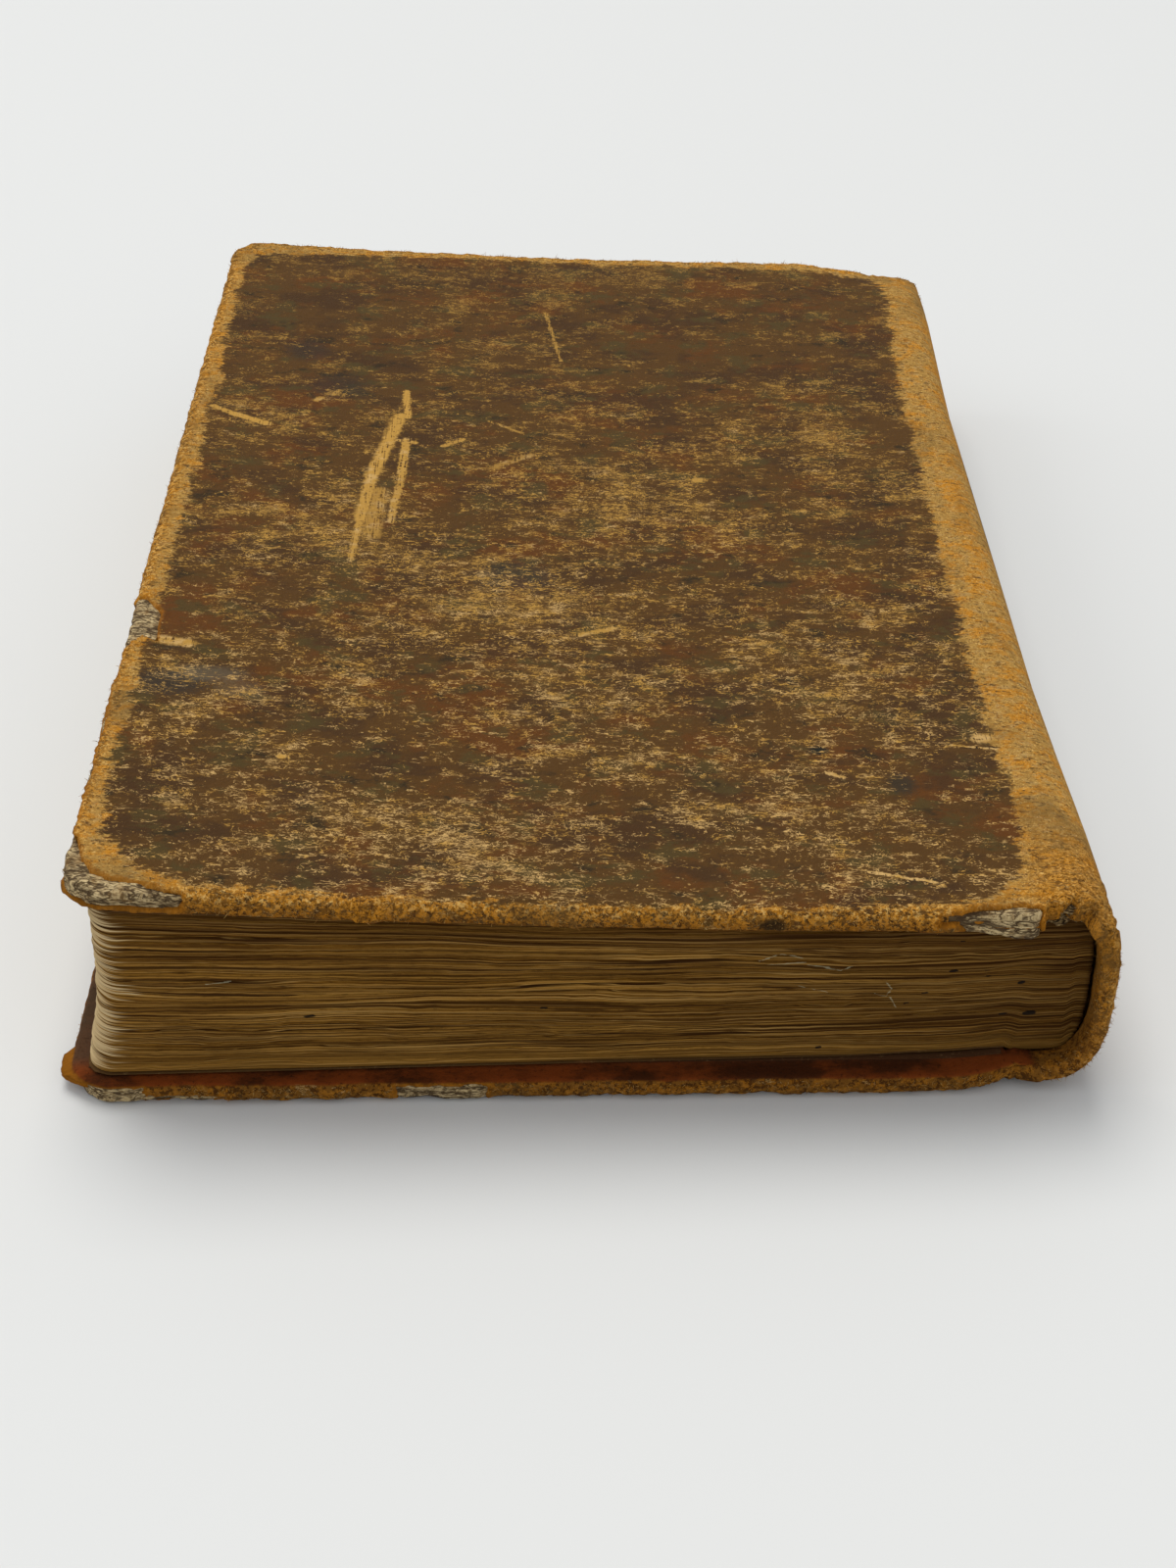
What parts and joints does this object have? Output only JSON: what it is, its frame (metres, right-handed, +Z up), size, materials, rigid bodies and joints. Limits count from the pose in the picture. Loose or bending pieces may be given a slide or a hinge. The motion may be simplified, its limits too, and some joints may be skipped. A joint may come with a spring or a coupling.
{
  "type": "hardback book",
  "caption": "Old full-leather hardback book with worn edges, laced-on pasteboards and covers that open at both joints.",
  "frame": {"origin": "under the middle of the book, on the surface that it lies on", "axes": "+X from the fore-edge towards the spine, +Y from the tail towards the head, +Z up through the front board"},
  "size_m": [0.1494, 0.2218, 0.0386],
  "materials": {
    "hide": "worn brown sheepskin, scuffed to ochre suede at its edges",
    "pasteboard": "grey-tan layered pasteboard",
    "leaves": "browned rag paper with dusty edges",
    "endpaper": "browned laid paper",
    "cord": "twisted hemp"
  },
  "bodies": {
    "sewn_leaves": {"text_block": "leaves", "front_flyleaf": "endpaper", "back_flyleaf": "endpaper", "spine_lining": "endpaper", "sewing_cord_1": "cord", "sewing_cord_2": "cord", "sewing_cord_3": "cord", "sewing_cord_4": "cord", "kettle_stitch_tail": "cord", "kettle_stitch_head": "cord", "spine_hide": "hide"},
    "front_cover": {"front_board": "pasteboard", "front_hide": "hide", "front_pastedown": "endpaper", "front_slip_1": "cord", "front_slip_2": "cord", "front_slip_3": "cord", "front_slip_4": "cord"},
    "back_cover": {"back_board": "pasteboard", "back_hide": "hide", "back_pastedown": "endpaper", "back_slip_1": "cord", "back_slip_2": "cord", "back_slip_3": "cord", "back_slip_4": "cord"}
  },
  "joints": [
    {"name": "front_cover_joint", "type": "hinge", "parent": "sewn_leaves", "child": "front_cover", "pos_m": [0.06505, 0, 0.0326], "axis": [0, 1, 0], "range_deg": [0, 172]},
    {"name": "back_cover_joint", "type": "hinge", "parent": "sewn_leaves", "child": "back_cover", "pos_m": [0.06215, 0, 0.0006], "axis": [0, -1, 0], "range_deg": [0, 172]}
  ]
}
